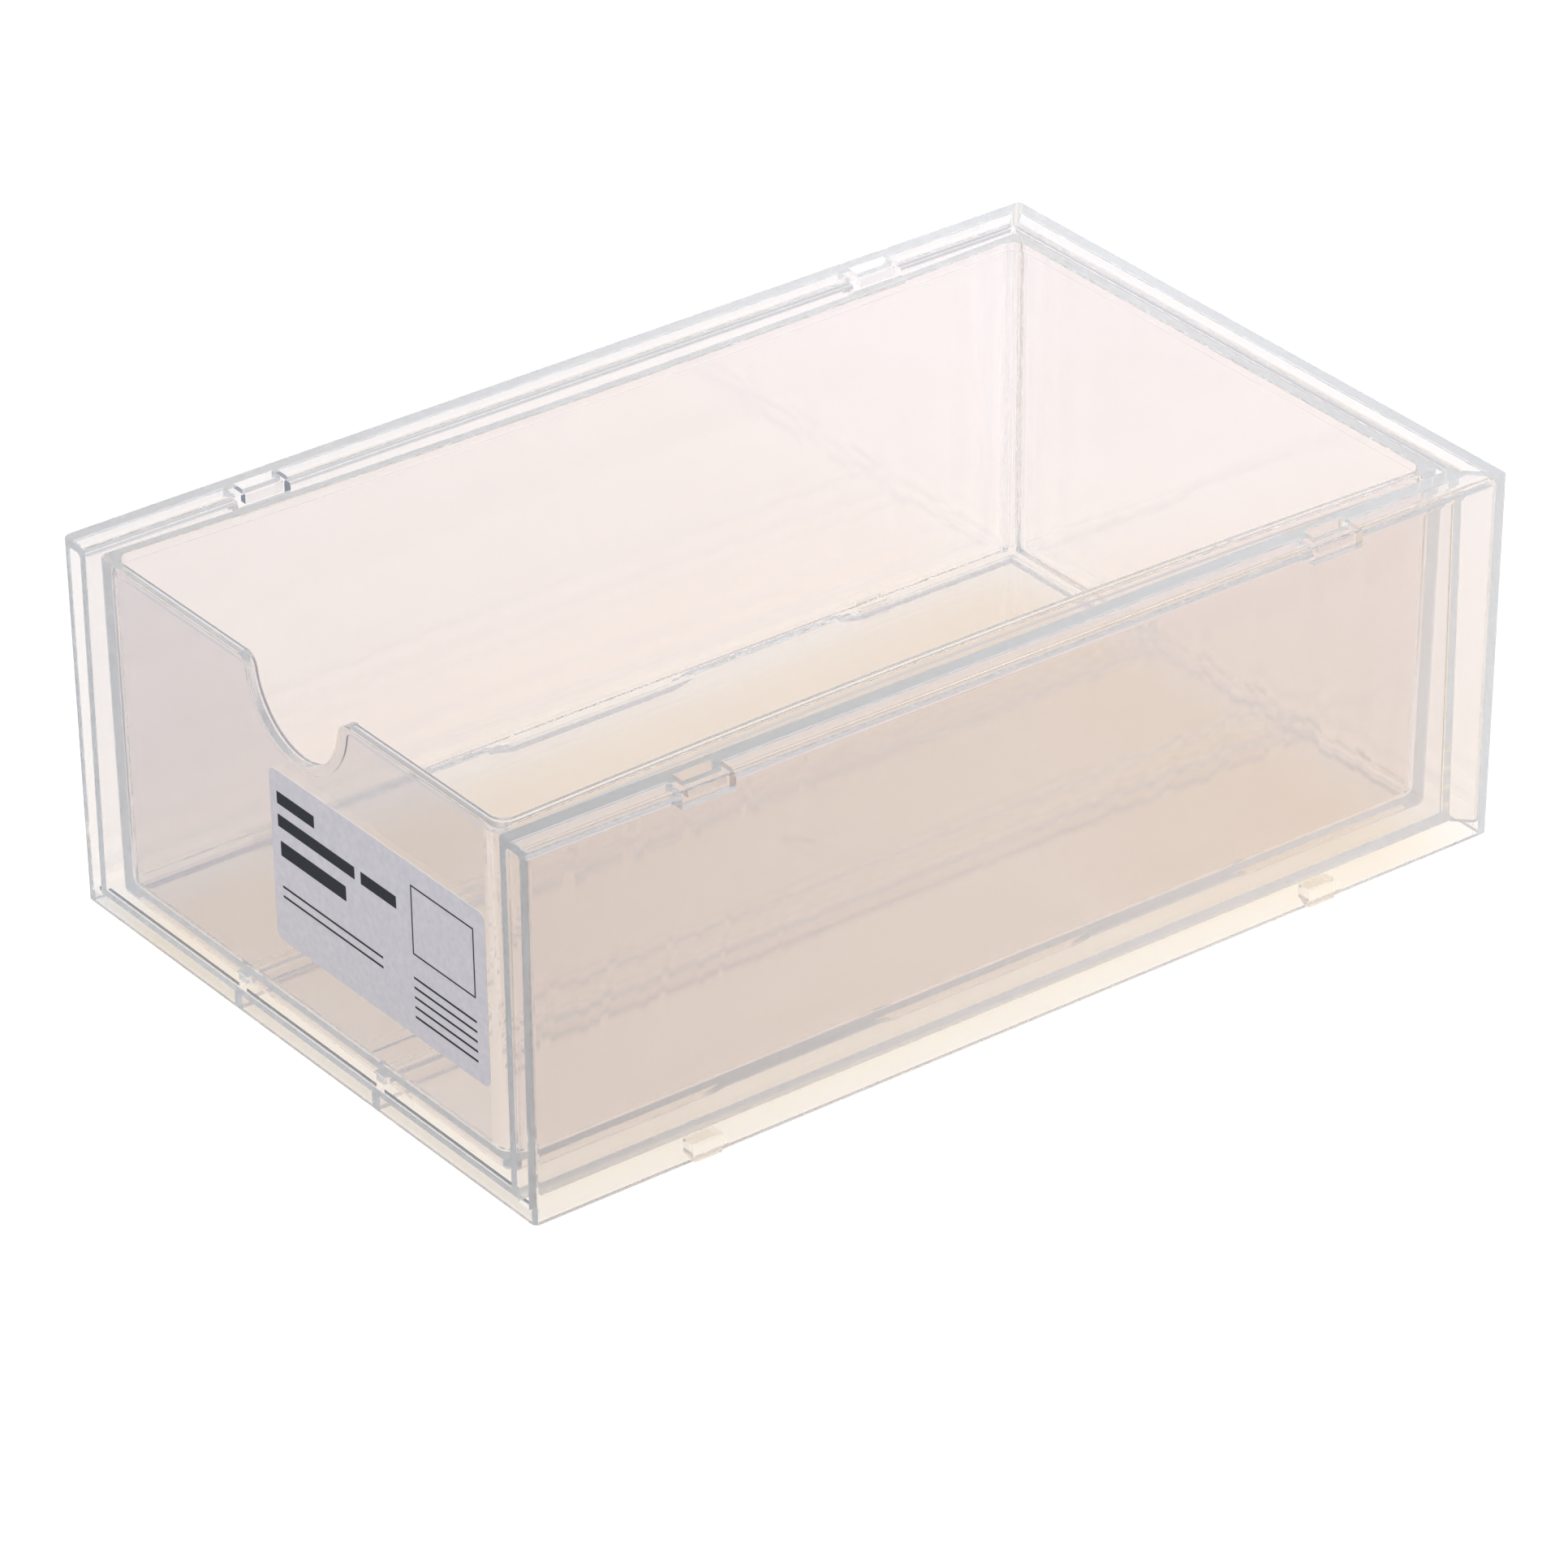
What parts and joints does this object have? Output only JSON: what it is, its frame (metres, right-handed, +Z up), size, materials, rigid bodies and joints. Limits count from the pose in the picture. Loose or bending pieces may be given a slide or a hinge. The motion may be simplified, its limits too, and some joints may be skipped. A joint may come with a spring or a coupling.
{
  "type": "stackable drawer box",
  "caption": "Clear open-topped storage box: a double-walled stacking case open at the front, and a pull-out drawer with a rounded finger notch and a blank label.",
  "frame": {"origin": "middle of the footprint, on the surface that the stacking tabs stand on", "axes": "+Z up, -Y towards the open front that the drawer slides out of, +X to the right as seen from the front"},
  "size_m": [0.106, 0.1646, 0.0584],
  "materials": {
    "clear_case": "clear moulded polystyrene, polished",
    "clear_drawer": "clear moulded polystyrene, polished",
    "label_paper": "coated paper sticker, satin"
  },
  "bodies": {
    "case": {"case": "clear_case"},
    "drawer": {"drawer": "clear_drawer", "label": "label_paper"}
  },
  "joints": [
    {"name": "drawer_slide", "type": "slide", "parent": "case", "child": "drawer", "axis": [0, -1, 0], "range_m": [0, 0.15]}
  ]
}
